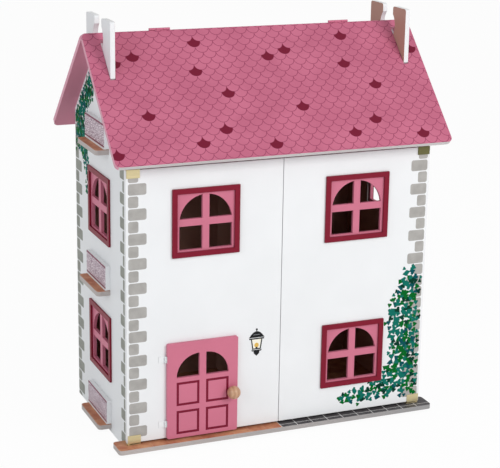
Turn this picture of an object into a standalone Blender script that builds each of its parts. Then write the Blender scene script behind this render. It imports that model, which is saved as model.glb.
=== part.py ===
"""A wooden dollhouse: two floors and an attic between two side walls with chimneys, a front
that opens as two doors with an entry door of its own, and a roof whose front half lifts.

Metres, +Z up. The front faces -Y, and the origin is on the ground under the ridge.
"""

from math import acos, asin, atan2, cos, pi, radians, sin, tan

import bmesh
import bpy
from mathutils import Matrix, Vector

# Boards and the clearance between pieces that touch.
BOARD = 0.009
GAP = 0.0003

# The walls.
HOUSE_WIDTH = 0.592
HOUSE_DEPTH = 0.309
WALL_X = HOUSE_WIDTH / 2
INNER_X = WALL_X - BOARD
FRONT_Y = -HOUSE_DEPTH / 2
BACK_Y = HOUSE_DEPTH / 2

# The floors, by the height of their top faces. Each has a tab that comes out through
# the side walls as a ledge, and the base has a front step with an ear at each side.
BASE_TOP = 0.0165
STOREY = 0.264
ATTIC_STOREY = 0.2655
FIRST_TOP = BASE_TOP + STOREY
ATTIC_TOP = FIRST_TOP + ATTIC_STOREY
LEDGE_REACH = 0.025
LEDGE_HALF_LENGTH = 0.059
STEP_REACH = 0.0295
STEP_EAR_REACH = 0.024
STEP_BACK_LENGTH = 0.0145
CORNER_RADIUS = 0.007
RAIL_HEIGHT = 0.047
RAIL_CORNER = 0.002

# The roof: two panels that meet in a mitre, with a hinge between them.
PITCH = radians(45)
APEX_Z = 0.749
SLOPE_LENGTH = 0.285
ROOF_OVERHANG = 0.032
ROOF_HALF_LENGTH = WALL_X + ROOF_OVERHANG
ROOF_CORNER = 0.010
RIDGE_CORNER = 0.014
RIDGE_GAP = 0.0028
RIDGE_AXIS_Z = APEX_Z + 0.001
SLOT_START = 0.018
SLOT_MARGIN = 0.0032
SLOT_SIDE_GAP = 0.0006

# The chimneys, which are the tops of the side walls.
CHIMNEY_INNER = 0.0205
CHIMNEY_OUTER = 0.072
CHIMNEY_TOP = APEX_Z + 0.028
CHIMNEY_CORNER = 0.005
CHIMNEY_EYE_Z = APEX_Z - 0.009
CHIMNEY_EYE_RADIUS = 0.030
ATTIC_EYE_Z = APEX_Z - 0.095
ATTIC_EYE_RADIUS = 0.033

# The front doors, each turning on a pin near its outer edge.
DOOR_OVERHANG = 0.004
DOOR_HALF_GAP = 0.00075
DOOR_STAND_OFF = 0.0025
DOOR_BOTTOM = BASE_TOP + 0.005
DOOR_TOP = ATTIC_TOP - 0.014
DOOR_BACK_Y = FRONT_Y - DOOR_STAND_OFF
DOOR_FACE_Y = DOOR_BACK_Y - BOARD
DOOR_EDGE_X = WALL_X + DOOR_OVERHANG
PIVOT_X = DOOR_EDGE_X - BOARD / 2
PIVOT_Y = (DOOR_BACK_Y + DOOR_FACE_Y) / 2

# The corner hinges: a bracket with a pin on the house, and an angle plate on the door.
HINGE_PLATE = 0.001
BRACKET_PLATE = 0.0012
ANGLE_WIDTH = 0.0245
ANGLE_HEIGHT = 0.0155
ANGLE_MARGIN = 0.0013
PIVOT_PIN_RADIUS = 0.0015
PIVOT_HOLE_RADIUS = 0.0018
PIVOT_PIN_DEPTH = 0.007
PIVOT_HOLE_DEPTH = 0.008
BOSS_RADIUS = 0.003
BRACKET_TONGUE = 0.020

# The windows. The frame lies on the board and the grille fills the hole behind it.
WINDOW_WIDTH = 0.129
WINDOW_HEIGHT = 0.1265
FRAME_BORDER = 0.0095
FRAME_PROUD = 0.0035
GRILLE_LIP = 0.003
GRILLE_THICKNESS = 0.006
MUNTIN = 0.013
PANE_REACH = 0.0505
FRONT_WINDOW_X = DOOR_EDGE_X / 2
UPPER_WINDOW_Z = FIRST_TOP + 0.14775
SIDE_LOWER_WINDOW_Z = BASE_TOP + 0.14875
FRONT_LOWER_WINDOW_Z = BASE_TOP + 0.12275

# The entry door, which lies on the left front door over a doorway.
ENTRY_FROM_EDGE = 0.075
ENTRY_LEFT_X = ENTRY_FROM_EDGE - DOOR_EDGE_X
ENTRY_WIDTH = 0.138
ENTRY_HEIGHT = 0.1845
ENTRY_BOTTOM = BASE_TOP + 0.004
ENTRY_TOP = ENTRY_BOTTOM + ENTRY_HEIGHT
ENTRY_THICKNESS = 0.006
ENTRY_CORNER = 0.0035
ENTRY_LAP = 0.010
ENTRY_RIGHT_X = ENTRY_LEFT_X + ENTRY_WIDTH
ENTRY_BACK_Y = DOOR_FACE_Y - GAP
ENTRY_FACE_Y = ENTRY_BACK_Y - ENTRY_THICKNESS
FANLIGHT_Z = ENTRY_BOTTOM + 0.1175
FANLIGHT_RADIUS = 0.0445
FANLIGHT_MULLION = 0.013

# The ball knob and the screw that holds it from behind.
KNOB_RADIUS = 0.0125
KNOB_NECK_RADIUS = 0.006
KNOB_NECK = 0.001
KNOB_INSET = 0.012
KNOB_Z = ENTRY_BOTTOM + 0.0795
SCREW_RADIUS = 0.0015
SCREW_HEAD_RADIUS = 0.0032
SCREW_HEAD_DEPTH = 0.002
SCREW_GRIP = 0.010

# The entry door's small hinges, turning about the middle of its thickness.
ENTRY_HINGE_LENGTH = 0.012
ENTRY_HINGE_INSET = 0.0295
ENTRY_BARREL_RADIUS = 0.0013
ENTRY_PIN_RADIUS = 0.0006
ENTRY_LEAF = 0.0008
ENTRY_AXIS_OFFSET = 0.0025
ENTRY_AXIS_X = ENTRY_LEFT_X - ENTRY_AXIS_OFFSET
ENTRY_AXIS_Y = (ENTRY_BACK_Y + ENTRY_FACE_Y) / 2
FRAME_LEAF_REACH = 0.012

# The ridge hinges, whose leaves stand in the mitre between the roof panels.
RIDGE_HINGE_LENGTH = 0.040
RIDGE_HINGE_X = 0.180
RIDGE_BARREL_RADIUS = 0.0022
RIDGE_PIN_RADIUS = 0.0011
RIDGE_LEAF = 0.0008
RIDGE_LEAF_DEPTH = 0.012
BORE_CLEARANCE = 0.0001
KNUCKLE_GAP = 0.0004

# The rooms' middle wall and its doorway.
PARTITION_SETBACK = 0.0015
DOORWAY_WIDTH = 0.080
DOORWAY_HEIGHT = 0.180
DOORWAY_RADIUS = 0.030

# The magnets that keep the front doors shut, and the steel discs that they hold.
CATCH_RADIUS = 0.004
CATCH_X = 0.020
MAGNET_THICKNESS = 0.001
STRIKE_THICKNESS = 0.0008

ROUND_STEPS = 32
UPRIGHT = (pi / 2, 0, 0)
SIDEWAYS = (pi / 2, 0, pi / 2)
FLAT = (0, 0, 0)

for old in list(bpy.data.objects):
    bpy.data.objects.remove(old)
house = bpy.data.collections.new("dollhouse")
cutters = bpy.data.collections.new("cutters")
for collection in (house, cutters):
    bpy.context.scene.collection.children.link(collection)


# Materials


def linear(hex_colour):
    """A colour written as six hex digits, as the shader's linear values."""
    parts = [int(hex_colour[i : i + 2], 16) / 255 for i in (0, 2, 4)]
    return [p / 12.92 if p <= 0.04045 else ((p + 0.055) / 1.055) ** 2.4 for p in parts] + [1]


def paint(name, hex_colour, roughness, metallic=0.0):
    material = bpy.data.materials.new(name)
    material.use_nodes = True
    shader = material.node_tree.nodes["Principled BSDF"]
    shader.inputs["Base Color"].default_value = linear(hex_colour)
    shader.inputs["Roughness"].default_value = roughness
    shader.inputs["Metallic"].default_value = metallic
    material.diffuse_color = linear(hex_colour)
    return material


WHITE_PAINT = paint("white_paint", "EDEEEE", 0.45)
ROOF_PRINT = paint("roof_print", "C8718A", 0.45)
CRIMSON_PAINT = paint("crimson_paint", "8B2038", 0.4)
PINK_PAINT = paint("pink_paint", "CE7590", 0.4)
FLOOR_PRINT = paint("floor_print", "C0846A", 0.5)
RAIL_PRINT = paint("rail_print", "E3B4C2", 0.45)
BEECH = paint("beech", "C9A27E", 0.5)
BRASS = paint("brass", "B9A36B", 0.35, 1.0)
PINK_METAL = paint("pink_metal", "C8718A", 0.4)
WHITE_METAL = paint("white_metal", "E8E8E6", 0.4)
STEEL = paint("steel", "A9ABAD", 0.35, 1.0)


# Outlines, as lists of points


def rounded(corners, steps=6):
    """The points of a closed outline. A corner is (x, y), or (x, y, radius) to round it."""
    points = []
    for index, corner in enumerate(corners):
        here = Vector(corner[:2])
        if len(corner) == 2:
            points.append(tuple(here))
            continue
        back = (Vector(corners[index - 1][:2]) - here).normalized()
        ahead = (Vector(corners[(index + 1) % len(corners)][:2]) - here).normalized()
        half = back.angle(ahead) / 2
        centre = here + (back + ahead).normalized() * corner[2] / sin(half)
        spokes = [here + way * corner[2] / tan(half) - centre for way in (back, ahead)]
        turn = atan2(spokes[0].cross(spokes[1]), spokes[0].dot(spokes[1]))
        first = atan2(spokes[0].y, spokes[0].x)
        points += arc(centre.x, centre.y, corner[2], first, first + turn, steps)
    return points


def arc(x, y, radius, start, end, steps):
    angles = [start + (end - start) * i / steps for i in range(steps + 1)]
    return [(x + radius * cos(a), y + radius * sin(a)) for a in angles]


def circle(x, y, radius, steps=ROUND_STEPS):
    return arc(x, y, radius, 0, 2 * pi, steps)[:-1]


def rectangle(x0, x1, y0, y1, radius=0.0):
    corners = [(x0, y0), (x1, y0), (x1, y1), (x0, y1)]
    return rounded([corner + (radius,) for corner in corners]) if radius else corners


def mirrored(points):
    return [(-x, y) for x, y in reversed(points)]


# Building pieces


def add(name, mesh, material, location=(0, 0, 0), rotation=FLAT, pivot=None):
    """The mesh as a named piece. A piece with a pivot turns about that empty."""
    obj = bpy.data.objects.new(name, mesh)
    mesh.materials.append(material)
    obj.location = location
    obj.rotation_euler = rotation
    house.objects.link(obj)
    if pivot:
        obj.parent = pivot
        bpy.context.view_layer.update()
        obj.matrix_parent_inverse = pivot.matrix_world.inverted()
    return obj


def pivot_at(name, location, parent=None):
    empty = bpy.data.objects.new(name, None)
    empty.empty_display_size = 0.02
    empty.location = Vector(location) - (parent.location if parent else Vector())
    empty.parent = parent
    house.objects.link(empty)
    bpy.context.view_layer.update()
    return empty


def slab(name, loops, thickness):
    """A flat piece: the first loop is its outline, and the others are holes through it."""
    curve = bpy.data.curves.new(name, "CURVE")
    curve.dimensions = "2D"
    curve.fill_mode = "BOTH"
    curve.extrude = thickness / 2
    for loop in loops:
        spline = curve.splines.new("POLY")
        spline.points.add(len(loop) - 1)
        spline.use_cyclic_u = True
        for point, (x, y) in zip(spline.points, loop):
            point.co = (x, y, 0, 1)
    drawn = bpy.data.objects.new(name, curve)
    house.objects.link(drawn)
    graph = bpy.context.evaluated_depsgraph_get()
    mesh = bpy.data.meshes.new_from_object(drawn.evaluated_get(graph))
    bpy.data.objects.remove(drawn)
    bm = bmesh.new()
    bm.from_mesh(mesh)
    bmesh.ops.remove_doubles(bm, verts=bm.verts, dist=1e-6)
    bmesh.ops.recalc_face_normals(bm, faces=bm.faces)
    bm.to_mesh(mesh)
    bm.free()
    mesh.materials.clear()
    return mesh


def box(name, x0, x1, y0, y1, z0, z1):
    mesh = bpy.data.meshes.new(name)
    bm = bmesh.new()
    bmesh.ops.create_cube(bm, size=1)
    bmesh.ops.scale(bm, verts=bm.verts, vec=(x1 - x0, y1 - y0, z1 - z0))
    middle = ((x0 + x1) / 2, (y0 + y1) / 2, (z0 + z1) / 2)
    bmesh.ops.translate(bm, verts=bm.verts, vec=middle)
    bm.to_mesh(mesh)
    bm.free()
    return mesh


def cylinder(name, radius, z0, z1, x=0.0, y=0.0, steps=24):
    mesh = bpy.data.meshes.new(name)
    bm = bmesh.new()
    middle = Matrix.Translation((x, y, (z0 + z1) / 2))
    bmesh.ops.create_cone(
        bm, cap_ends=True, segments=steps, radius1=radius, radius2=radius, depth=z1 - z0, matrix=middle
    )
    bm.to_mesh(mesh)
    bm.free()
    mesh.shade_smooth()
    mesh.set_sharp_from_angle(angle=radians(40))
    return mesh


def turned(obj, steps=ROUND_STEPS):
    """Spins the profile that the object's mesh holds about its own Z."""
    screw = obj.modifiers.new("turned", "SCREW")
    screw.steps = screw.render_steps = steps
    screw.use_merge_vertices = True
    screw.merge_threshold = 0.00001
    screw.use_smooth_shade = True


def profile(name, points):
    mesh = bpy.data.meshes.new(name)
    edges = [(i, i + 1) for i in range(len(points) - 1)]
    mesh.from_pydata([(x, 0, z) for x, z in points], edges, [])
    return mesh


def shape(obj, operation, mesh, location=(0, 0, 0), rotation=FLAT):
    """Cuts the mesh from the object, or joins it on, by a Boolean modifier."""
    helper = bpy.data.objects.new(f"{obj.name}_{mesh.name}", mesh)
    helper.location = location
    helper.rotation_euler = rotation
    helper.hide_render = True
    helper.display_type = "WIRE"
    cutters.objects.link(helper)
    boolean = obj.modifiers.new(mesh.name, "BOOLEAN")
    boolean.operation = operation
    boolean.object = helper
    return helper


# The shell: base, floors, walls and partitions


def tabbed(half_width, front, back):
    """A floor's right-hand half, front to back: its side edge with the ledge tab."""
    tab = half_width + GAP + BOARD + LEDGE_REACH
    return [
        (half_width, front),
        (half_width, -LEDGE_HALF_LENGTH),
        (tab, -LEDGE_HALF_LENGTH, CORNER_RADIUS),
        (tab, LEDGE_HALF_LENGTH, CORNER_RADIUS),
        (half_width, LEDGE_HALF_LENGTH),
        (half_width, back),
    ]


def both_sides(half):
    """A floor's whole outline from the corners of its right-hand half."""
    return half + [(-corner[0],) + tuple(corner[1:]) for corner in reversed(half)]


def floors():
    half_width = INNER_X - GAP
    back = BACK_Y - BOARD - 2 * GAP
    plain = tabbed(half_width, FRONT_Y + GAP, back)
    step_x = WALL_X + STEP_EAR_REACH
    step_front = FRONT_Y - STEP_REACH
    step_back = FRONT_Y + STEP_BACK_LENGTH
    ear = [(step_x, step_front, CORNER_RADIUS), (step_x, step_back, CORNER_RADIUS)]
    stepped = ear + tabbed(half_width, step_back, back)
    for name, corners, top in (
        ("base_board", stepped, BASE_TOP),
        ("first_floor", plain, FIRST_TOP),
        ("attic_floor", plain, ATTIC_TOP),
    ):
        mesh = slab(name, [rounded(both_sides(corners))], BOARD)
        add(name, mesh, FLOOR_PRINT, (0, 0, top - BOARD / 2))


def on_roof(along, depth):
    """(distance from the ridge line, height) of a point down the slope and under its face."""
    return (along * cos(PITCH) - depth * sin(PITCH), APEX_Z - along * sin(PITCH) - depth * cos(PITCH))


def wall_top(y):
    """The height of the wall's sloping top, which the roof rests on."""
    return APEX_Z - (BOARD + GAP) / cos(PITCH) - abs(y) * tan(PITCH)


def gable():
    """The rear half of a side wall's top, from the shoulder over the chimney to the ridge."""
    chimney_along = CHIMNEY_OUTER / cos(PITCH)
    outer = [
        (BACK_Y, wall_top(BACK_Y)),
        on_roof(chimney_along, BOARD + GAP),
        on_roof(chimney_along, 0),
        (CHIMNEY_OUTER, CHIMNEY_TOP, CHIMNEY_CORNER),
        (CHIMNEY_INNER, CHIMNEY_TOP, CHIMNEY_CORNER),
    ]
    eye_start = acos(CHIMNEY_INNER / CHIMNEY_EYE_RADIUS)
    below = (wall_top(0) - CHIMNEY_EYE_Z) * cos(PITCH)
    eye_end = pi / 2 - PITCH - acos(below / CHIMNEY_EYE_RADIUS)
    return outer + arc(0, CHIMNEY_EYE_Z, CHIMNEY_EYE_RADIUS, eye_start, eye_end, 12)


def window_hole(x, z):
    half_width = WINDOW_WIDTH / 2 - FRAME_BORDER + GRILLE_LIP
    half_height = WINDOW_HEIGHT / 2 - FRAME_BORDER + GRILLE_LIP
    return rectangle(x - half_width, x + half_width, z - half_height, z + half_height)


def side_walls():
    rear = gable()
    front = [(-corner[0],) + tuple(corner[1:]) for corner in reversed(rear)]
    ear_back = FRONT_Y + STEP_BACK_LENGTH + GAP
    over_ear = BASE_TOP + GAP
    bottom = [(FRONT_Y, over_ear), (ear_back, over_ear), (ear_back, 0), (BACK_Y, 0)]
    outline = rounded(bottom + rear + [(0, wall_top(0))] + front)
    tab = LEDGE_HALF_LENGTH + GAP
    slots = [
        rectangle(-tab, tab, top - BOARD - GAP, top + GAP) for top in (BASE_TOP, FIRST_TOP, ATTIC_TOP)
    ]
    holes = slots + [
        window_hole(0, UPPER_WINDOW_Z),
        window_hole(0, SIDE_LOWER_WINDOW_Z),
        circle(0, ATTIC_EYE_Z, ATTIC_EYE_RADIUS),
    ]
    for name, side in (("side_wall_left", -1), ("side_wall_right", 1)):
        mesh = slab(name, [outline] + holes, BOARD)
        add(name, mesh, WHITE_PAINT, (side * (WALL_X - BOARD / 2), 0, 0), SIDEWAYS)


def back_wall():
    half = INNER_X - GAP
    back = BACK_Y - GAP
    mesh = box("back_wall", -half, half, back - BOARD, back, 0, wall_top(back) - GAP)
    add("back_wall", mesh, WHITE_PAINT)


def partitions():
    """The middle walls, each with a doorway cut up from the floor."""
    front = FRONT_Y + GAP + PARTITION_SETBACK
    back = BACK_Y - BOARD - 2 * GAP
    for name, below, above in (
        ("partition_ground", BASE_TOP, FIRST_TOP - BOARD),
        ("partition_upper", FIRST_TOP, ATTIC_TOP - BOARD),
    ):
        foot = below + GAP
        head = foot + DOORWAY_HEIGHT
        half = DOORWAY_WIDTH / 2
        outline = rounded(
            [
                (front, foot),
                (-half, foot),
                (-half, head, DOORWAY_RADIUS),
                (half, head, DOORWAY_RADIUS),
                (half, foot),
                (back, foot),
                (back, above - GAP),
                (front, above - GAP),
            ]
        )
        add(name, slab(name, [outline], BOARD), WHITE_PAINT, (0, 0, 0), SIDEWAYS)


def rails():
    """The balcony boards, which stand on the ledges against the side walls."""
    outline = rectangle(-LEDGE_HALF_LENGTH, LEDGE_HALF_LENGTH, 0, RAIL_HEIGHT, RAIL_CORNER)
    x = WALL_X + GAP + BOARD / 2
    for level, top in (("ground", BASE_TOP), ("first", FIRST_TOP), ("attic", ATTIC_TOP)):
        for side_name, side in (("left", -1), ("right", 1)):
            name = f"rail_{level}_{side_name}"
            add(name, slab(name, [outline], BOARD), RAIL_PRINT, (side * x, 0, top + GAP), SIDEWAYS)


# The windows


def grille_loops():
    half_width = WINDOW_WIDTH / 2 - FRAME_BORDER + GRILLE_LIP - GAP
    half_height = WINDOW_HEIGHT / 2 - FRAME_BORDER + GRILLE_LIP - GAP
    bar = MUNTIN / 2
    square = rectangle(bar, PANE_REACH, -PANE_REACH, -bar)
    low = asin(bar / PANE_REACH)
    quarter = [(bar, bar)] + arc(0, 0, PANE_REACH, low, pi / 2 - low, 12)
    outline = rectangle(-half_width, half_width, -half_height, half_height)
    return [outline, square, mirrored(square), quarter, mirrored(quarter)]


def frame_loops():
    half_width, half_height = WINDOW_WIDTH / 2, WINDOW_HEIGHT / 2
    inner_width, inner_height = half_width - FRAME_BORDER, half_height - FRAME_BORDER
    return [
        rectangle(-half_width, half_width, -half_height, half_height, 0.001),
        rectangle(-inner_width, inner_width, -inner_height, inner_height),
    ]


def window(name, face, outward, rotation, pivot=None):
    """A frame on the board's face and a grille in its hole. Face is the window's middle there."""
    outward = Vector(outward)
    frame = Vector(face) + outward * (GAP + FRAME_PROUD / 2)
    grille = Vector(face) - outward * GRILLE_THICKNESS / 2
    ring = slab(f"window_frame_{name}", frame_loops(), FRAME_PROUD)
    add(f"window_frame_{name}", ring, CRIMSON_PAINT, frame, rotation, pivot)
    bars = slab(f"window_grille_{name}", grille_loops(), GRILLE_THICKNESS)
    add(f"window_grille_{name}", bars, PINK_PAINT, grille, rotation, pivot)


def side_windows():
    for side_name, side in (("left", -1), ("right", 1)):
        for level, z in (("upper", UPPER_WINDOW_Z), ("lower", SIDE_LOWER_WINDOW_Z)):
            window(f"{side_name}_{level}", (side * WALL_X, 0, z), (side, 0, 0), SIDEWAYS)


# The front doors


def door_pivot(side_name, side):
    return pivot_at(f"front_door_{side_name}_pivot", (side * PIVOT_X, PIVOT_Y, DOOR_BOTTOM))


def front_door(side_name, side, holes, pivot):
    """A door half with its holes, and a blind hole for each pivot pin."""
    name = f"front_door_{side_name}"
    near, far = sorted((side * DOOR_HALF_GAP, side * DOOR_EDGE_X))
    loops = [rectangle(near, far, DOOR_BOTTOM, DOOR_TOP)] + holes
    door = add(name, slab(name, loops, BOARD), WHITE_PAINT, (0, PIVOT_Y, 0), UPRIGHT, pivot)
    for end, z, inward in (("bottom", DOOR_BOTTOM, 1), ("top", DOOR_TOP, -1)):
        ends = sorted((z - inward * 0.001, z + inward * PIVOT_HOLE_DEPTH))
        hole = cylinder(f"{end}_pin_hole", PIVOT_HOLE_RADIUS, *ends)
        shape(door, "DIFFERENCE", hole, (side * PIVOT_X, PIVOT_Y, 0))
    return door


def corner_hinge(side_name, side, end, pivot):
    """The bracket with its pin on the house, and the angle plate round the door's corner."""
    if end == "bottom":
        edge, inward, seat, tongue = DOOR_BOTTOM, 1, BASE_TOP, 0
    else:
        edge, inward, seat, tongue = DOOR_TOP, -1, ATTIC_TOP - BOARD, BRACKET_TONGUE
    outer = DOOR_EDGE_X - ANGLE_MARGIN
    inner = outer - ANGLE_WIDTH
    flange = edge - inward * (GAP + HINGE_PLATE)

    # The bracket's plate, its boss up to the flange, and the pin through the flange.
    plate_far = seat + inward * (GAP + BRACKET_PLATE)
    behind = FRONT_Y - 2 * GAP
    corners = [(inner, DOOR_FACE_Y + GAP), (outer, DOOR_FACE_Y + GAP), (outer, behind)]
    if tongue:
        corners += [(INNER_X - 2 * GAP, behind), (INNER_X - 2 * GAP, behind + tongue), (inner, behind + tongue)]
    else:
        corners += [(inner, behind)]
    name = f"hinge_bracket_{end}_{side_name}"
    plate = slab(name, [[(side * x, y) for x, y in corners]], BRACKET_PLATE)
    bracket = add(name, plate, BRASS, (0, 0, (seat + inward * GAP + plate_far) / 2))
    at_pin = (side * PIVOT_X, PIVOT_Y, 0)
    boss_ends = sorted((plate_far - inward * BRACKET_PLATE / 2, flange - inward * GAP))
    pin_ends = sorted((plate_far - inward * BRACKET_PLATE / 3, edge + inward * PIVOT_PIN_DEPTH))
    shape(bracket, "UNION", cylinder("boss", BOSS_RADIUS, *boss_ends), at_pin)
    shape(bracket, "UNION", cylinder("pin", PIVOT_PIN_RADIUS, *pin_ends), at_pin)

    # The angle plate, an L seen from the side, with the pin's hole in its flange.
    front = DOOR_FACE_Y - GAP - HINGE_PLATE
    leaf_end = flange + inward * ANGLE_HEIGHT
    corners = [
        (front, flange),
        (DOOR_BACK_Y, flange),
        (DOOR_BACK_Y, flange + inward * HINGE_PLATE),
        (front + HINGE_PLATE, flange + inward * HINGE_PLATE),
        (front + HINGE_PLATE, leaf_end),
        (front, leaf_end),
    ]
    name = f"hinge_plate_{end}_{side_name}"
    angle = slab(name, [corners], ANGLE_WIDTH)
    middle = (side * (inner + outer) / 2, 0, 0)
    plate = add(name, angle, BRASS, middle, SIDEWAYS, pivot)
    hole_ends = sorted((flange - inward * 0.001, flange + inward * 0.003))
    shape(plate, "DIFFERENCE", cylinder("pin_hole", PIVOT_HOLE_RADIUS, *hole_ends), at_pin)


def catches(side_name, side, pivot):
    """A magnet on the first floor's front edge and the steel disc it holds on the door."""
    place = (side * CATCH_X, 0, FIRST_TOP - BOARD / 2)
    magnet_back = -(FRONT_Y + GAP) + GAP
    magnet = cylinder(f"magnet_{side_name}", CATCH_RADIUS, magnet_back, magnet_back + MAGNET_THICKNESS)
    add(f"magnet_{side_name}", magnet, STEEL, place, UPRIGHT)
    strike_front = -DOOR_BACK_Y - GAP
    strike = cylinder(f"strike_{side_name}", CATCH_RADIUS, strike_front - STRIKE_THICKNESS, strike_front)
    add(f"strike_{side_name}", strike, STEEL, place, UPRIGHT, pivot)


def front():
    upper_left = window_hole(-FRONT_WINDOW_X, UPPER_WINDOW_Z)
    upper_right = window_hole(FRONT_WINDOW_X, UPPER_WINDOW_Z)
    lower_right = window_hole(FRONT_WINDOW_X, FRONT_LOWER_WINDOW_Z)
    doorway = rectangle(
        ENTRY_LEFT_X + ENTRY_LAP,
        ENTRY_RIGHT_X - ENTRY_LAP,
        ENTRY_BOTTOM + ENTRY_LAP,
        ENTRY_TOP - ENTRY_LAP,
        ENTRY_CORNER,
    )
    pivots = {}
    for side_name, side, holes in (
        ("left", -1, [upper_left, doorway]),
        ("right", 1, [upper_right, lower_right]),
    ):
        pivot = pivots[side_name] = door_pivot(side_name, side)
        front_door(side_name, side, holes, pivot)
        for end in ("bottom", "top"):
            corner_hinge(side_name, side, end, pivot)
        catches(side_name, side, pivot)
        at = (side * FRONT_WINDOW_X, DOOR_FACE_Y, UPPER_WINDOW_Z)
        window(f"front_upper_{side_name}", at, (0, -1, 0), UPRIGHT, pivot)
    at = (FRONT_WINDOW_X, DOOR_FACE_Y, FRONT_LOWER_WINDOW_Z)
    window("front_lower_right", at, (0, -1, 0), UPRIGHT, pivots["right"])
    return pivots["left"]


# The entry door


def screw_profile(spare):
    """A countersunk screw with its head's face at 0, made larger all round by the spare."""
    tip = ENTRY_THICKNESS + SCREW_GRIP + spare
    shank = SCREW_RADIUS + spare
    head = SCREW_HEAD_RADIUS + spare
    return [(0, tip), (shank, tip - 0.001), (shank, SCREW_HEAD_DEPTH), (head, 0)]


def entry_door(door_pivot_left):
    pivot = pivot_at(
        "entry_door_pivot", (ENTRY_AXIS_X, ENTRY_AXIS_Y, ENTRY_BOTTOM), door_pivot_left
    )
    middle_x = (ENTRY_LEFT_X + ENTRY_RIGHT_X) / 2
    mullion = FANLIGHT_MULLION / 2
    light = [(mullion, FANLIGHT_Z)] + arc(mullion, FANLIGHT_Z, FANLIGHT_RADIUS, 0, pi / 2, 14)
    lights = [[(middle_x + x, z) for x, z in loop] for loop in (light, mirrored(light))]
    outline = rectangle(ENTRY_LEFT_X, ENTRY_RIGHT_X, ENTRY_BOTTOM, ENTRY_TOP, ENTRY_CORNER)
    mesh = slab("entry_door", [outline] + lights, ENTRY_THICKNESS)
    door = add("entry_door", mesh, PINK_PAINT, (0, ENTRY_AXIS_Y, 0), UPRIGHT, pivot)

    # The knob's screw passes through the door from behind, its head flush with the back.
    knob_x = ENTRY_RIGHT_X - KNOB_INSET
    screw_place = (knob_x, ENTRY_BACK_Y - GAP, KNOB_Z)
    beyond = -4 * GAP
    sink = screw_profile(GAP) + [(SCREW_HEAD_RADIUS + GAP, beyond), (0, beyond)]
    hole = shape(door, "DIFFERENCE", profile("screw_hole", sink), screw_place, UPRIGHT)
    turned(hole, 16)
    screw_points = screw_profile(0) + [(0, 0)]
    screw = add("knob_screw", profile("knob_screw", screw_points), STEEL, screw_place, UPRIGHT, pivot)
    turned(screw, 16)

    # The knob is a ball on a short neck, with a blind hole for the screw.
    neck_z = -(KNOB_RADIUS**2 - KNOB_NECK_RADIUS**2) ** 0.5
    base = neck_z - KNOB_NECK
    hole_radius = SCREW_RADIUS + GAP
    hole_top = base + SCREW_GRIP + 2 * GAP
    ball = [
        (KNOB_RADIUS * sin(a), KNOB_RADIUS * cos(a))
        for a in (i * (pi - asin(KNOB_NECK_RADIUS / KNOB_RADIUS)) / 14 for i in range(15))
    ]
    ball[0] = (0, KNOB_RADIUS)
    points = ball + [(KNOB_NECK_RADIUS, base), (hole_radius, base), (hole_radius, hole_top), (0, hole_top)]
    place = (knob_x, ENTRY_FACE_Y - GAP + base, KNOB_Z)
    knob = add("door_knob", profile("door_knob", points), BEECH, place, UPRIGHT, pivot)
    turned(knob, 24)
    return pivot


# Hinges with a barrel


def hinge_leaf(name, plate, web, knuckles, length, barrel, bore, look, place, rotation, pivot):
    """A leaf along its own Z: a plate, and a web and a knuckle at each given stretch."""
    leaf = add(name, box(name, *plate, -length / 2, length / 2), look, place, rotation, pivot)
    for number, (low, high) in enumerate(knuckles):
        shape(leaf, "UNION", box(f"web_{number}", *web, low, high), place, rotation)
        shape(leaf, "UNION", cylinder(f"knuckle_{number}", barrel, low, high, steps=20), place, rotation)
    hole = cylinder("bore", bore, -length, length, steps=20)
    shape(leaf, "DIFFERENCE", hole, place, rotation)


def knuckle_spans(length):
    """The outer two knuckles of one leaf, and the middle one of the other."""
    third = length / 6
    outer = [(-length / 2, -third - KNUCKLE_GAP), (third + KNUCKLE_GAP, length / 2)]
    return outer, [(-third, third)]


def ridge_hinge(side_name, side, pivot):
    outer, middle = knuckle_spans(RIDGE_HINGE_LENGTH)
    place = (side * RIDGE_HINGE_X, 0, RIDGE_AXIS_Z)
    below = -RIDGE_BARREL_RADIUS - KNUCKLE_GAP
    near, far = GAP, RIDGE_GAP / 2 - GAP
    bore = RIDGE_PIN_RADIUS + BORE_CLEARANCE
    for leaf, way, knuckles, turning in (("rear", 1, outer, None), ("front", -1, middle, pivot)):
        across = sorted((way * near, way * far))
        hinge_leaf(
            f"ridge_hinge_{leaf}_leaf_{side_name}",
            (*across, -RIDGE_LEAF_DEPTH, below),
            (*across, below - KNUCKLE_GAP, -RIDGE_PIN_RADIUS),
            knuckles,
            RIDGE_HINGE_LENGTH,
            RIDGE_BARREL_RADIUS,
            bore,
            PINK_METAL,
            place,
            SIDEWAYS,
            turning,
        )
    name = f"ridge_hinge_pin_{side_name}"
    pin = cylinder(name, RIDGE_PIN_RADIUS, -RIDGE_HINGE_LENGTH / 2, RIDGE_HINGE_LENGTH / 2, steps=20)
    add(name, pin, PINK_METAL, place, SIDEWAYS)


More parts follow.
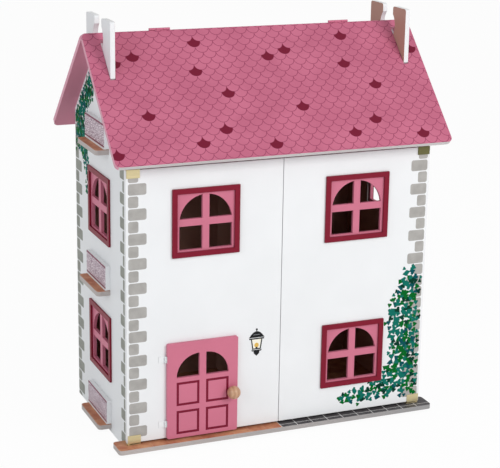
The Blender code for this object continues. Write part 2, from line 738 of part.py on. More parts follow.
def entry_hinge(end, z, frame_pivot, pivot):
    outer, middle = knuckle_spans(ENTRY_HINGE_LENGTH)
    place = (ENTRY_AXIS_X, ENTRY_AXIS_Y, z)
    bore = ENTRY_PIN_RADIUS + BORE_CLEARANCE
    to_door = DOOR_FACE_Y - GAP - ENTRY_AXIS_Y
    leaf_front = to_door - ENTRY_LEAF
    web_side = (-ENTRY_BARREL_RADIUS, -ENTRY_BARREL_RADIUS / 3)
    hinge_leaf(
        f"entry_hinge_frame_leaf_{end}",
        (-FRAME_LEAF_REACH, web_side[1], leaf_front, to_door),
        (*web_side, ENTRY_PIN_RADIUS, to_door - ENTRY_LEAF / 2),
        outer,
        ENTRY_HINGE_LENGTH,
        ENTRY_BARREL_RADIUS,
        bore,
        WHITE_METAL,
        place,
        FLAT,
        frame_pivot,
    )
    edge = ENTRY_AXIS_OFFSET - GAP
    plate_near = ENTRY_BARREL_RADIUS + GAP
    half = ENTRY_THICKNESS / 2 - KNUCKLE_GAP
    hinge_leaf(
        f"entry_hinge_door_leaf_{end}",
        (plate_near, edge, -half, half),
        (ENTRY_PIN_RADIUS, (plate_near + edge) / 2, -KNUCKLE_GAP, KNUCKLE_GAP),
        middle,
        ENTRY_HINGE_LENGTH,
        ENTRY_BARREL_RADIUS,
        bore,
        WHITE_METAL,
        place,
        FLAT,
        pivot,
    )
    name = f"entry_hinge_pin_{end}"
    pin = cylinder(name, ENTRY_PIN_RADIUS, -ENTRY_HINGE_LENGTH / 2, ENTRY_HINGE_LENGTH / 2, steps=20)
    add(name, pin, WHITE_METAL, place, FLAT, frame_pivot)


# The roof


def slot_end():
    """Where the slot ends down the slope, clear of the chimney as the panel turns."""
    return CHIMNEY_OUTER / cos(PITCH) + SLOT_MARGIN


def roof_panel(name, side, pivot=None):
    """A panel whose outline is drawn in its own plane, across and down the slope."""
    half = ROOF_HALF_LENGTH
    outline = rounded(
        [
            (-half, 0, RIDGE_CORNER),
            (half, 0, RIDGE_CORNER),
            (half, SLOPE_LENGTH, ROOF_CORNER),
            (-half, SLOPE_LENGTH, ROOF_CORNER),
        ]
    )
    near, far = INNER_X - SLOT_SIDE_GAP, WALL_X + SLOT_SIDE_GAP
    slots = [rectangle(*sorted((way * near, way * far)), SLOT_START, slot_end()) for way in (-1, 1)]
    across, height = on_roof(0, BOARD / 2)
    turn = -pi / 2 + side * (pi / 2 - PITCH)
    panel = add(
        name,
        slab(name, [outline] + slots, BOARD),
        ROOF_PRINT,
        (0, side * across, height),
        (turn, 0, 0),
        pivot,
    )
    beyond = sorted((side * RIDGE_GAP / 2, -side * 4 * BOARD))
    mitre = box("mitre", -half * 1.1, half * 1.1, *beyond, APEX_Z - 6 * BOARD, APEX_Z + 3 * BOARD)
    shape(panel, "DIFFERENCE", mitre)
    return panel


def roof():
    roof_panel("roof_rear", 1)
    pivot = pivot_at("roof_front_pivot", (0, 0, RIDGE_AXIS_Z))
    roof_panel("roof_front", -1, pivot)
    for side_name, side in (("left", -1), ("right", 1)):
        ridge_hinge(side_name, side, pivot)


floors()
side_walls()
back_wall()
partitions()
rails()
side_windows()
left_pivot = front()
entry_pivot = entry_door(left_pivot)
entry_hinge("bottom", ENTRY_BOTTOM + ENTRY_HINGE_INSET, left_pivot, entry_pivot)
entry_hinge("top", ENTRY_TOP - ENTRY_HINGE_INSET, left_pivot, entry_pivot)
roof()
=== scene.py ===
# %% [markdown]
# # A painted wooden dollhouse
#
# The real house is a flat-pack of 9 mm boards: fibreboard cut on a router, sprayed with
# acrylic, and printed with stone corners, ivy, roof scales and floor tiles. All of its solid
# shapes and joints are already in the frame model. This lesson gives each board its paint
# and its prints, adds the parts that are only ink, and sets up a small studio.

# %% Load the frame
import random
from math import cos, pi, radians, sin

import bmesh
import bpy
from mathutils import Matrix, Vector


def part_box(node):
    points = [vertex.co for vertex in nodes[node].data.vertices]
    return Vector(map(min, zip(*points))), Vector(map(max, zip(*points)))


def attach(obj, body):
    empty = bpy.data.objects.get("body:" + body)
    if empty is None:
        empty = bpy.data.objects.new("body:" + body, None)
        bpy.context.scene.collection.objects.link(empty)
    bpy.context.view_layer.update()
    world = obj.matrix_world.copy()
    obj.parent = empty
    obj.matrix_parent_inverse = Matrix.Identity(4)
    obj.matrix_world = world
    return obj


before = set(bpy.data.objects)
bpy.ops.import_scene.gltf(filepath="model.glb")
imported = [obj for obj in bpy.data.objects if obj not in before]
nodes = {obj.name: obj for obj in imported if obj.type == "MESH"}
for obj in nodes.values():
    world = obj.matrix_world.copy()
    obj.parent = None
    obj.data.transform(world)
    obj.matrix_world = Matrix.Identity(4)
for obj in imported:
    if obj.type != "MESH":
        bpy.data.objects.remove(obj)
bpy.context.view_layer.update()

# %% [markdown]
# ## Sizes that the prints are set out from
#
# A print is placed from the edges of the board that carries it, so the sizes are measured
# from the frame. The print's own sizes, such as a stone's height, are in millimetres. A mask
# for one face of a board has to catch only that face, so it reaches a fraction of a
# millimetre into the board and a little way out of it.

# %% Measure the boards
MM = 0.001
SKIN = 0.2 * MM
CLEAR = 1 * MM


def low(name):
    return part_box(name)[0]


def high(name):
    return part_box(name)[1]


WALL_X = high("side_wall_right").x
INNER_X = low("side_wall_right").x
FRONT_Y = low("side_wall_right").y
BACK_Y = high("side_wall_right").y
DOOR_EDGE_X = high("front_door_right").x
DOOR_FACE_Y = low("front_door_right").y
BOARD = WALL_X - INNER_X
print("wall", round(WALL_X / MM), "mm out, door face", round(DOOR_FACE_Y / MM), "mm")

# %% [markdown]
# ## Two helpers for materials
#
# Paint charts give colours as sRGB hex, and shaders want linear light, so one function
# converts. Another adds any node: its inputs in order, or by name, and its settings. With it
# a pattern reads like a formula, and no other helper is needed for a node.

# %% Colour and node helpers


def linear(hex_colour):
    parts = [int(hex_colour[i : i + 2], 16) / 255 for i in (0, 2, 4)]
    return [p / 12.92 if p <= 0.04045 else ((p + 0.055) / 1.055) ** 2.4 for p in parts] + [1]


def add(tree, kind, *values, out=0, named=None, **settings):
    """A new node with its settings. Each value is linked if it is a socket, and set if not."""
    node = tree.nodes.new("ShaderNode" + kind)
    for setting, value in settings.items():
        setattr(node, setting, value)
    for key, value in list(enumerate(values)) + list((named or {}).items()):
        if value is None:
            continue
        if isinstance(value, bpy.types.NodeSocket):
            tree.links.new(value, node.inputs[key])
        else:
            node.inputs[key].default_value = value
    return node.outputs[out]


print("mid grey is", round(linear("808080")[0], 3), "in linear light")

# %% [markdown]
# ## What every finish starts with
#
# Satin acrylic has an IOR near 1.5, whose specular level is 0.5. Its matting powder scatters
# most of the mirror part, so the level starts at 0.15 here: dark paints then keep their depth
# under a bright sky. Values that are even all over the surface are set straight on the
# shader. A finished material goes onto a board in place of the frame's plain one.

# %% Start a material, and put it on boards
SATIN_LEVEL = 0.15


def start(name, roughness, metallic=0.0, specular=SATIN_LEVEL, coat=0.0):
    """A material with its shader's even values set, and where a point is on the object."""
    material = bpy.data.materials.new(name)
    material.use_nodes = True
    tree = material.node_tree
    shader = tree.nodes["Principled BSDF"]
    shader.inputs["Roughness"].default_value = roughness
    shader.inputs["Metallic"].default_value = metallic
    shader.inputs["Specular IOR Level"].default_value = specular
    shader.inputs["Coat Weight"].default_value = coat
    place = add(tree, "TexCoord", out="Object")
    return material, tree, shader, place


def finish_with(material, *names):
    """Gives each named board this finish alone."""
    for name in names:
        nodes[name].data.materials.clear()
        nodes[name].data.materials.append(material)
    print(material.name, "on", len(names), "pieces")


print("satin paint has specular level", SATIN_LEVEL)

# %% [markdown]
# ## Masks and layers of ink
#
# Each print is made as a printer makes it: a ground colour, then inks laid over it in order,
# each where its mask is 1. A mask is often a band between two limits. Inks and clay are
# seldom even, so a soft cloud pattern mixes two close tones.

# %% Bands, clouds and inks
CLOUD_LOW = 0.35


def inside(tree, value, lowest, highest):
    """1 where the value lies between the two, else 0."""
    above = add(tree, "Math", value, lowest, operation="GREATER_THAN")
    below = add(tree, "Math", value, highest, operation="LESS_THAN")
    return add(tree, "Math", above, below, operation="MULTIPLY")


def cloudy(tree, place, size, detail, highest=0.65, roughness=0.5):
    """From 0 to 1 in soft clouds of about this size."""
    cloud = {"Scale": 1 / size, "Detail": detail, "Roughness": roughness}
    noise = add(tree, "TexNoise", place, named=cloud)
    return add(tree, "MapRange", noise, CLOUD_LOW, highest, 0.0, 1.0)


def lay_inks(tree, ground, *layers):
    """The ground colour with inks over it in order. Each layer is a mask and its ink."""
    colour = linear(ground) if isinstance(ground, str) else ground
    for mask, ink in layers:
        ink = linear(ink) if isinstance(ink, str) else ink
        stack = {0: mask, 6: colour, 7: ink}
        colour = add(tree, "Mix", data_type="RGBA", out=2, named=stack)
    return colour


print("clouds start at", CLOUD_LOW, "of the noise")

# %% [markdown]
# ## Sprayed paint
#
# Every board is sprayed with satin acrylic. Up close it is a little uneven: the gun leaves a
# fine orange peel about 1.5 mm across, and the colour drifts very slightly over a hand's
# width. Both come from noise, one as bump and one as a small change of brightness.

# %% The paint's surface
PEEL = 1.5 * MM
PEEL_DEPTH = 0.1 * MM
DRIFT = 90 * MM
NOISE_LOW, NOISE_HIGH = 0.3, 0.7
GLOSS_SPREAD = 0.04


def sprayed(tree, shader, place, colour, drift=0.03, bump=0.06):
    """Finishes a painted surface: the slow drift of its colour and the fine orange peel."""
    slow = add(tree, "TexNoise", place, named={"Scale": 1 / DRIFT, "Detail": 2.0})
    shade = add(tree, "MapRange", slow, NOISE_LOW, NOISE_HIGH, 1 - drift, 1.0)
    grey = add(tree, "CombineColor", shade, shade, shade)
    both = {0: 1.0, 6: colour, 7: grey}
    tinted = add(tree, "Mix", data_type="RGBA", blend_type="MULTIPLY", out=2, named=both)
    tree.links.new(tinted, shader.inputs["Base Color"])
    peel = add(tree, "TexNoise", place, named={"Scale": 1 / PEEL, "Detail": 1.0})
    relief = {"Strength": bump, "Distance": PEEL_DEPTH, "Height": peel}
    tree.links.new(add(tree, "Bump", named=relief), shader.inputs["Normal"])
    even = shader.inputs["Roughness"].default_value
    least, most = even - GLOSS_SPREAD, even + GLOSS_SPREAD
    varied = add(tree, "MapRange", peel, NOISE_LOW, NOISE_HIGH, least, most)
    tree.links.new(varied, shader.inputs["Roughness"])


WHITE = "EAEBEC"
INNER_BROWN = "B88F80"
print("orange peel", PEEL / MM, "mm, colour drift over", round(DRIFT / MM), "mm")

# %% [markdown]
# ## Printed corner stones
#
# The corners are printed as grey quoins: wide and narrow stones by turns, with the white
# paint left as mortar. A rounded box is drawn with the usual distance formula: how far a
# point lies outside a smaller box, less the corner's radius.

# %% The corner stones' pattern
COURSE = 22.75 * MM
STONE_HALF_HEIGHT = 10.4 * MM
STONE_CORNER = 4 * MM
STONE_CLOUD = 18 * MM
NARROW, WIDE = 19 * MM, 34 * MM
WIDE_COURSE_Z = 497.2 * MM


def stones(tree, across, height, narrow, wide, margin, first):
    """1 on a stone. Across is the distance in from the board's edge."""
    start_z = WIDE_COURSE_Z + first * COURSE
    above = add(tree, "Math", height, start_z, operation="SUBTRACT")
    course = add(tree, "Math", above, COURSE, operation="DIVIDE")
    number = add(tree, "Math", course, operation="ROUND")
    off = add(tree, "Math", course, number, operation="SUBTRACT")
    up = add(tree, "Math", off, COURSE, operation="MULTIPLY")
    odd = add(tree, "Math", number, 2.0, operation="FLOORED_MODULO")
    half = add(tree, "MapRange", odd, 0.0, 1.0, wide / 2, narrow / 2)
    middle = add(tree, "Math", half, margin, operation="ADD")
    along = add(tree, "Math", across, middle, operation="SUBTRACT")
    point = add(tree, "CombineXYZ", along, up, 0.0)
    point = add(tree, "VectorMath", point, operation="ABSOLUTE")
    core_half = add(tree, "Math", half, STONE_CORNER, operation="SUBTRACT")
    core = add(tree, "CombineXYZ", core_half, STONE_HALF_HEIGHT - STONE_CORNER, 0.0)
    past = add(tree, "VectorMath", point, core, operation="SUBTRACT")
    past = add(tree, "VectorMath", past, (0, 0, 0), operation="MAXIMUM")
    length = add(tree, "VectorMath", past, operation="LENGTH", out="Value")
    return add(tree, "Math", length, STONE_CORNER, operation="LESS_THAN")


def stone_colour(tree, place, dark, light):
    """The print's grey, a little cloudy from stone to stone."""
    return lay_inks(tree, dark, (cloudy(tree, place, STONE_CLOUD, 3.0), light))


print("a stone every", COURSE / MM, "mm")

# %% [markdown]
# ## The front doors
#
# The doors are plain white with stones at their outer edges, printed on the front face only.
# The same material serves both doors, because the stones are set out from the outer edge on
# either side.

# %% Paint the front doors
DOOR_MORTAR = 4.2 * MM


def front_door_paint():
    # Satin acrylic over a printed board: soft highlights, and grey stones as flat as the paint.
    material, tree, shader, place = start("white_acrylic_with_stone_print", 0.42)
    spot = add(tree, "SeparateXYZ", place).node.outputs
    out = add(tree, "Math", spot["X"], operation="ABSOLUTE")
    across = add(tree, "Math", DOOR_EDGE_X, out, operation="SUBTRACT")
    face = inside(tree, spot["Y"], DOOR_FACE_Y - CLEAR, DOOR_FACE_Y + SKIN)
    mask = stones(tree, across, spot["Z"], NARROW, WIDE, DOOR_MORTAR, 0)
    mask = add(tree, "Math", mask, face, operation="MULTIPLY")
    stone = stone_colour(tree, place, "A29F9B", "AFACA8")
    sprayed(tree, shader, place, lay_inks(tree, WHITE, (mask, stone)))
    return material


finish_with(front_door_paint(), "front_door_left", "front_door_right")

# %% [markdown]
# ## The side walls
#
# A side wall has stones at both edges of its outer face up to the gable, and is rosy brown
# inside. Its front stones are one course out of step with the doors', so that the two
# prints interlock round the corner as real quoins do. They are printed a darker grey.

# %% Paint the side walls
GABLE_FOOT = 575 * MM
REAR_NARROW, REAR_WIDE = 21 * MM, 39 * MM
REAR_MORTAR = 1 * MM


def side_wall_paint():
    # Satin acrylic, a touch duller than the doors, with a second colour on the inner face.
    material, tree, shader, place = start("white_acrylic_with_brown_inside", 0.45)
    spot = add(tree, "SeparateXYZ", place).node.outputs
    out = add(tree, "Math", spot["X"], operation="ABSOLUTE")
    outer = inside(tree, out, WALL_X - SKIN, WALL_X + CLEAR)
    inner = inside(tree, out, INNER_X - CLEAR, INNER_X + SKIN)
    from_front = add(tree, "Math", spot["Y"], FRONT_Y, operation="SUBTRACT")
    from_back = add(tree, "Math", BACK_Y, spot["Y"], operation="SUBTRACT")
    front = stones(tree, from_front, spot["Z"], NARROW, WIDE, 0.0, 1)
    rear = stones(tree, from_back, spot["Z"], REAR_NARROW, REAR_WIDE, REAR_MORTAR, 1)
    below_gable = add(tree, "Math", spot["Z"], GABLE_FOOT, operation="LESS_THAN")
    mask = add(tree, "Math", front, rear, operation="MAXIMUM")
    mask = add(tree, "Math", mask, below_gable, operation="MULTIPLY")
    mask = add(tree, "Math", mask, outer, operation="MULTIPLY")
    stone = stone_colour(tree, place, "868880", "92948B")
    sprayed(tree, shader, place, lay_inks(tree, WHITE, (mask, stone), (inner, INNER_BROWN)))
    return material


finish_with(side_wall_paint(), "side_wall_left", "side_wall_right")

# %% [markdown]
# ## The back wall and the partitions
#
# Rooms are painted rosy brown, and only the back wall's outer face is white. One mask by
# depth does both: everything more than 2 mm in front of the back face is inside the house.

# %% Paint the back and the partitions
BACK_FACE = 2 * MM


def inner_wall_paint():
    # Duller acrylic, as room paint is: it keeps the rooms dark and free of highlights.
    material, tree, shader, place = start("rosy_brown_acrylic", 0.5)
    spot = add(tree, "SeparateXYZ", place).node.outputs
    inner = add(tree, "Math", spot["Y"], BACK_Y - BACK_FACE, operation="LESS_THAN")
    sprayed(tree, shader, place, lay_inks(tree, WHITE, (inner, INNER_BROWN)))
    return material


finish_with(inner_wall_paint(), "back_wall", "partition_ground", "partition_upper")

# %% [markdown]
# ## Setting out the roof's fish scales
#
# The roof is printed with round scales, like slates hung in rows that overlap by half. A
# point belongs to the scale of the row above if it lies within that scale's circle, and
# otherwise to the row below, half a scale to the side. The circle's rim is the dark outline,
# drawn about 1 mm wide. The real line is nearer half of that, which wouldn't show.

# %% Set out the scales
PITCH = radians(45)
RIDGE_HALF_GAP = -high("roof_front").y
APEX_Z = high("roof_front").z + RIDGE_HALF_GAP
SLOPE = (APEX_Z - low("roof_front").z) / sin(PITCH) - BOARD
SCALE_WIDTH = 24.7 * MM
ROW = 12.7 * MM
FIRST_ROW = 5.0 * MM
EVEN_START = -245.4 * MM
ODD_START = EVEN_START + 4.5 * SCALE_WIDTH
OUTLINE = 0.55 * MM


def scale_in_row(tree, across, row):
    """The number of the nearest scale in a row, and how far the point is to its side."""
    odd = add(tree, "Math", row, 2.0, operation="FLOORED_MODULO")
    shift = add(tree, "MapRange", odd, 0.0, 1.0, EVEN_START, ODD_START)
    along = add(tree, "Math", across, shift, operation="SUBTRACT")
    steps = add(tree, "Math", along, SCALE_WIDTH, operation="DIVIDE")
    number = add(tree, "Math", steps, operation="ROUND")
    off = add(tree, "Math", steps, number, operation="SUBTRACT")
    return number, add(tree, "Math", off, SCALE_WIDTH, operation="MULTIPLY")


def scales(tree, across, down):
    """Each point's row and scale number, and 1 on a scale's outline."""
    below_first = add(tree, "Math", down, FIRST_ROW, operation="SUBTRACT")
    rows = add(tree, "Math", below_first, ROW, operation="DIVIDE")
    upper = add(tree, "Math", rows, operation="FLOOR")
    lower = add(tree, "Math", upper, 1.0, operation="ADD")
    part = add(tree, "Math", rows, upper, operation="SUBTRACT")
    below = add(tree, "Math", part, ROW, operation="MULTIPLY")
    upper_number, upper_off = scale_in_row(tree, across, upper)
    lower_number, _ = scale_in_row(tree, across, lower)
    spread = add(tree, "CombineXYZ", upper_off, below, 0.0)
    away = add(tree, "VectorMath", spread, operation="LENGTH", out="Value")
    on_upper = add(tree, "Math", away, SCALE_WIDTH / 2, operation="LESS_THAN")
    row = add(tree, "Mix", named={0: on_upper, 2: lower, 3: upper})
    number = add(tree, "Mix", named={0: on_upper, 2: lower_number, 3: upper_number})
    past = add(tree, "Math", away, SCALE_WIDTH / 2, operation="SUBTRACT")
    from_rim = add(tree, "Math", past, operation="ABSOLUTE")
    return row, number, add(tree, "Math", from_rim, OUTLINE, operation="LESS_THAN")


print("scales", SCALE_WIDTH / MM, "mm wide down a slope of", round(SLOPE / MM), "mm")

# %% [markdown]
# ## The dark scales
#
# A few scales are printed dark red, as if single slates had been replaced. They look
# scattered, but they are a short list of rows and columns that repeats every twelve columns.

# %% Pick the dark scales
REPEAT = 12
DARK_SCALES = ((2, 5), (4, 0), (5, 6), (7, 0), (11, 2), (14, 0), (17, 1), (19, 11), (20, 9))


def dark_scales(tree, row, number):
    """1 on the scales of the list."""
    column = add(tree, "Math", number, float(REPEAT), operation="FLOORED_MODULO")
    dark = 0.0
    for dark_row, dark_column in DARK_SCALES:
        same_row = add(tree, "Math", row, float(dark_row), 0.1, operation="COMPARE")
        same_column = add(tree, "Math", column, float(dark_column), 0.1, operation="COMPARE")
        both = add(tree, "Math", same_row, same_column, operation="MULTIPLY")
        dark = add(tree, "Math", dark, both, operation="MAXIMUM")
    return dark


print(len(DARK_SCALES), "dark scales in every", REPEAT, "columns")

# %% [markdown]
# ## The roof panels
#
# Both panels slope by 45 degrees, so two sums turn a point's place into how far it lies down
# the slope and how deep under the printed face. The print covers the top face, the underside
# and the side edges are plain pink, and the edge at the eave is grey.

# %% Paint the roof
ROOF_SHADE, ROOF_PINK = "BE6781", "C76F89"
ROOF_CLOUD = 60 * MM
EAVE_BAND = 1 * MM


def along_slope(tree, aside, drop):
    """How far a point is down the slope, and how deep under the roof's outer face."""
    level = add(tree, "Math", aside, cos(PITCH), operation="MULTIPLY")
    upright = add(tree, "Math", drop, sin(PITCH), operation="MULTIPLY")
    down = add(tree, "Math", level, upright, operation="ADD")
    upright = add(tree, "Math", drop, cos(PITCH), operation="MULTIPLY")
    level = add(tree, "Math", aside, sin(PITCH), operation="MULTIPLY")
    return down, add(tree, "Math", upright, level, operation="SUBTRACT")


def roof_paint():
    # Satin acrylic ink on a white-primed board: rosy, with broad soft highlights.
    material, tree, shader, place = start("printed_scale_acrylic", 0.42)
    spot = add(tree, "SeparateXYZ", place).node.outputs
    aside = add(tree, "Math", spot["Y"], operation="ABSOLUTE")
    drop = add(tree, "Math", APEX_Z, spot["Z"], operation="SUBTRACT")
    down, depth = along_slope(tree, aside, drop)
    row, number, rim = scales(tree, spot["X"], down)
    dark = dark_scales(tree, row, number)
    pink = lay_inks(tree, ROOF_SHADE, (cloudy(tree, place, ROOF_CLOUD, 2.0), ROOF_PINK))
    scale_print = lay_inks(tree, pink, (rim, "8E3A59"), (dark, "72122F"))
    eave = add(tree, "Math", down, SLOPE - EAVE_BAND, operation="GREATER_THAN")
    printed = inside(tree, depth, -CLEAR, SKIN)
    under = inside(tree, depth, BOARD - SKIN, BOARD + CLEAR)
    edges = (eave, "CFCCCB")
    colour = lay_inks(tree, "D89AAC", edges, (printed, scale_print), (under, "CF879B"))
    sprayed(tree, shader, place, colour)
    return material


finish_with(roof_paint(), "roof_front", "roof_rear")

# %% [markdown]
# ## Floors, step and ledges
#
# The floors' tops are printed as tiles: warm terracotta, except on the right half of the
# front step, which has charcoal tiles with white joints. A grid of joints is two sets of
# lines at the tile's pitch, one across and one along.

# %% Set out the tiles
TILE = 32 * MM
JOINT = 1.1 * MM
FAINT = 0.35
STEP_DEPTH = 15 * MM
LONG_JOINT_FROM, LONG_JOINT_TO = 7.6 * MM, 6.6 * MM
CLAY_LIGHT, CLAY_DARK, CLAY_JOINT = "D29974", "AC654D", "D8B49C"
SLATE_DARK, SLATE_LIGHT, SLATE_JOINT = "3F3C3F", "575456", "E4E2E0"
CLAY_CLOUD = 26 * MM


def joints_every(tree, along, pitch, width):
    """1 on the thin lines that repeat at a pitch."""
    part = add(tree, "Math", along, pitch, operation="FLOORED_MODULO")
    return add(tree, "Math", part, width, operation="LESS_THAN")


def charcoal_tiles(tree, place, spot, cross_joints):
    """The mask of the step's right half, and its tile print."""
    cloud = cloudy(tree, place, CLAY_CLOUD, 4.0, roughness=0.6)
    line_y = DOOR_FACE_Y - LONG_JOINT_FROM, DOOR_FACE_Y - LONG_JOINT_TO
    long_joint = inside(tree, spot["Y"], *line_y)
    white = add(tree, "Math", cross_joints, long_joint, operation="MAXIMUM")
    slate = lay_inks(tree, SLATE_DARK, (cloud, SLATE_LIGHT), (white, SLATE_JOINT))
    right = add(tree, "Math", spot["X"], 0.0, operation="GREATER_THAN")
    step = add(tree, "Math", spot["Y"], FRONT_Y + STEP_DEPTH, operation="LESS_THAN")
    return add(tree, "Math", right, step, operation="MULTIPLY"), slate


print("tiles", round(TILE / MM), "mm, joints", JOINT / MM, "mm")

# %% [markdown]
# ## Painting the floors
#
# The boards' edges and undersides are grey paint, lighter and warmer at the left and darker
# towards the right, so one mask by height keeps the print on the top.

# %% Paint the floors
EDGE_LEFT, EDGE_RIGHT = "B8AFAB", "9A9898"


def floor_paint(name, top, charcoal_step):
    # Dull acrylic with a cloudy clay tone, so that the tiles look dry and unglazed.
    material, tree, shader, place = start(name, 0.5)
    spot = add(tree, "SeparateXYZ", place).node.outputs
    cloud = cloudy(tree, place, CLAY_CLOUD, 4.0, highest=0.68, roughness=0.6)
    across = joints_every(tree, spot["X"], TILE, JOINT)
    along = joints_every(tree, spot["Y"], TILE, JOINT)
    lines = add(tree, "Math", across, along, operation="MAXIMUM")
    faint = add(tree, "Math", lines, FAINT, operation="MULTIPLY")
    tiles = lay_inks(tree, CLAY_LIGHT, (cloud, CLAY_DARK), (faint, CLAY_JOINT))
    if charcoal_step:
        tiles = lay_inks(tree, tiles, charcoal_tiles(tree, place, spot, across))
    printed = add(tree, "Math", spot["Z"], top - SKIN, operation="GREATER_THAN")
    # The edges' grey darkens from left to right across the house.
    across_house = add(tree, "MapRange", spot["X"], -WALL_X, WALL_X, 0.0, 1.0)
    colour = lay_inks(tree, EDGE_LEFT, (across_house, EDGE_RIGHT), (printed, tiles))
    sprayed(tree, shader, place, colour)
    return material


for name in ("base_board", "first_floor", "attic_floor"):
    tiled = floor_paint("tile_print_" + name, high(name).z, name == "base_board")
    finish_with(tiled, name)

# %% [markdown]
# ## Balcony boards
#
# Each balcony board is printed as a lacy iron railing: a tangle of fine dark pink scrolls on
# pale pink, with a crimson line above and below. The tangle is the edges of a Voronoi
# pattern about 4 mm across, warped by noise so that no cell looks regular. The printed
# scrolls are about half as coarse. At that size they would only look grey.

# %% Paint the balcony boards
SCROLL = 4.0 * MM
WARP = 0.007
WARP_SIZE = 9 * MM
FOOT_LINE, HEAD_LINE = 5.4 * MM, 2 * MM
HALF_LINE = 1.5 * MM
FOOT_MARGIN = 4 * MM
SCROLL_CORE, SCROLL_FADE, SCROLL_INK = 0.05, 0.25, 0.8


def rail_paint(name, foot, head):
    # Satin acrylic: pale, with a fine broken texture that comes from the ink alone.
    material, tree, shader, place = start(name, 0.45)
    spot = add(tree, "SeparateXYZ", place).node.outputs
    wave = {"Scale": 1 / WARP_SIZE, "Detail": 2.0}
    bend = add(tree, "TexNoise", place, named=wave, out="Color")
    shift = add(tree, "VectorMath", bend, (WARP, WARP, WARP), operation="MULTIPLY")
    warped = add(tree, "VectorMath", place, shift, operation="ADD")
    cells = {"Scale": 1 / SCROLL}
    edge = add(tree, "TexVoronoi", warped, feature="DISTANCE_TO_EDGE", named=cells)
    scroll = add(tree, "MapRange", edge, SCROLL_CORE, SCROLL_FADE, SCROLL_INK, 0.0)
    layers = [(scroll, "6E4059")]
    for height in (foot + FOOT_LINE, head - HEAD_LINE):
        line = inside(tree, spot["Z"], height - HALF_LINE, height + HALF_LINE)
        layers.append((line, "742340"))
    margin = add(tree, "Math", spot["Z"], foot + FOOT_MARGIN, operation="LESS_THAN")
    lace = lay_inks(tree, "EDE1E7", *layers, (margin, WHITE))
    out = add(tree, "Math", spot["X"], operation="ABSOLUTE")
    face = add(tree, "Math", out, WALL_X + BOARD, operation="GREATER_THAN")
    sprayed(tree, shader, place, lay_inks(tree, WHITE, (face, lace)))
    return material


for level in ("ground", "first", "attic"):
    for side in ("left", "right"):
        name = f"rail_{level}_{side}"
        finish_with(rail_paint("lace_print_" + name, low(name).z, high(name).z), name)

# %% [markdown]
# ## Window frames and grilles
#
# The frames are painted crimson and the grilles pink, in the same satin acrylic. Such small
# parts are sprayed many at a time on a rack, so their colour drifts more than a board's, the
# deep crimson most of all.

# %% Paint the windows
PINK = "CB748A"


def plain_paint(name, colour, roughness, drift, specular=SATIN_LEVEL):
    """One even colour of paint or ink."""
    material, tree, shader, place = start(name, roughness, specular=specular)
    sprayed(tree, shader, place, linear(colour), drift)
    return material


# Crimson acrylic: deep red with a visible drift. Pink acrylic: the same gloss, more even.
crimson = plain_paint("crimson_acrylic", "7F152C", 0.42, 0.12)
pink = plain_paint("pink_acrylic", PINK, 0.42, 0.06)
finish_with(crimson, *[name for name in nodes if name.startswith("window_frame")])
finish_with(pink, *[name for name in nodes if name.startswith("window_grille")])

# %% [markdown]
# ## The entry door's panels
#
# The door is pink with four panels printed as crimson outlines. A line is where a point is
# inside the panel's outer rectangle and outside its inner one.

# %% Paint the entry door
PANEL_LINE = 4.6 * MM
PANEL_WIDTH = 44.5 * MM
PANEL_HEIGHT = 45.7 * MM
PANEL_GAP = 13 * MM
LOWEST_PANEL = 7.5 * MM
ROW_GAP = 9.8 * MM


def panel_line(tree, spot, x, z):
    """1 on the outline of the panel whose middle is at this x and z."""
    masks = []
    for inset in (0.0, PANEL_LINE):
        half_width, half_height = PANEL_WIDTH / 2 - inset, PANEL_HEIGHT / 2 - inset
        across = inside(tree, spot["X"], x - half_width, x + half_width)
        up = inside(tree, spot["Z"], z - half_height, z + half_height)
        masks.append(add(tree, "Math", across, up, operation="MULTIPLY"))
    return add(tree, "Math", *masks, operation="SUBTRACT")


def entry_paint():
    # Satin acrylic, slightly shinier than the boards, because doors are handled and polished.
    material, tree, shader, place = start("pink_acrylic_with_panel_print", 0.4)
    spot = add(tree, "SeparateXYZ", place).node.outputs
    middle = (low("entry_door").x + high("entry_door").x) / 2
    lowest = low("entry_door").z + LOWEST_PANEL + PANEL_HEIGHT / 2
    layers = []
    for side in (-1, 1):
        for row in (0, 1):
            x = middle + side * (PANEL_GAP + PANEL_WIDTH) / 2
            z = lowest + row * (PANEL_HEIGHT + ROW_GAP)
            layers.append((panel_line(tree, spot, x, z), "76122E"))
    face_y = low("entry_door").y + SKIN
    face = add(tree, "Math", spot["Y"], face_y, operation="LESS_THAN")
    panels = lay_inks(tree, PINK, *layers)
    sprayed(tree, shader, place, lay_inks(tree, PINK, (face, panels)), 0.05)
    return material


finish_with(entry_paint(), "entry_door")

# %% [markdown]
# ## The beech knob
#
# The knob is turned beech with clear varnish: growth rings show as bands along its axis and
# pores as short dark flecks. Real rings are 2 to 3 mm apart and real pores a tenth of a
# millimetre wide. Both are drawn several times coarser, so that they show on a 25 mm ball.

# %% Make the knob's wood
RING = 26 * MM  # a wave texture repeats at about a third of this
PORE = 0.9 * MM
PORE_FROM, PORE_FULL, PORE_INK = 0.62, 0.72, 0.5
ALONG_GRAIN = (1.0, 0.25, 1.0)


def beech_wood():
    # Varnished beech: warm bands under a thin clear coat, which gives a small sharp highlight.
    material, tree, shader, place = start("varnished_beech", 0.42, specular=0.4, coat=0.2)
    stretched = add(tree, "VectorMath", place, ALONG_GRAIN, operation="MULTIPLY")
    growth = {"Scale": 1 / RING, "Distortion": 4.0, "Detail": 3.0, "Detail Scale": 1.5}
    rings = add(tree, "TexWave", stretched, named=growth)
    pores = add(tree, "TexNoise", stretched, named={"Scale": 1 / PORE, "Detail": 2.0})
    fleck = add(tree, "MapRange", pores, PORE_FROM, PORE_FULL, 0.0, PORE_INK)
    colour = lay_inks(tree, "C79D7C", (rings, "B28868"), (fleck, "8A6242"))
    sprayed(tree, shader, place, colour, 0.06, 0.03)
    return material


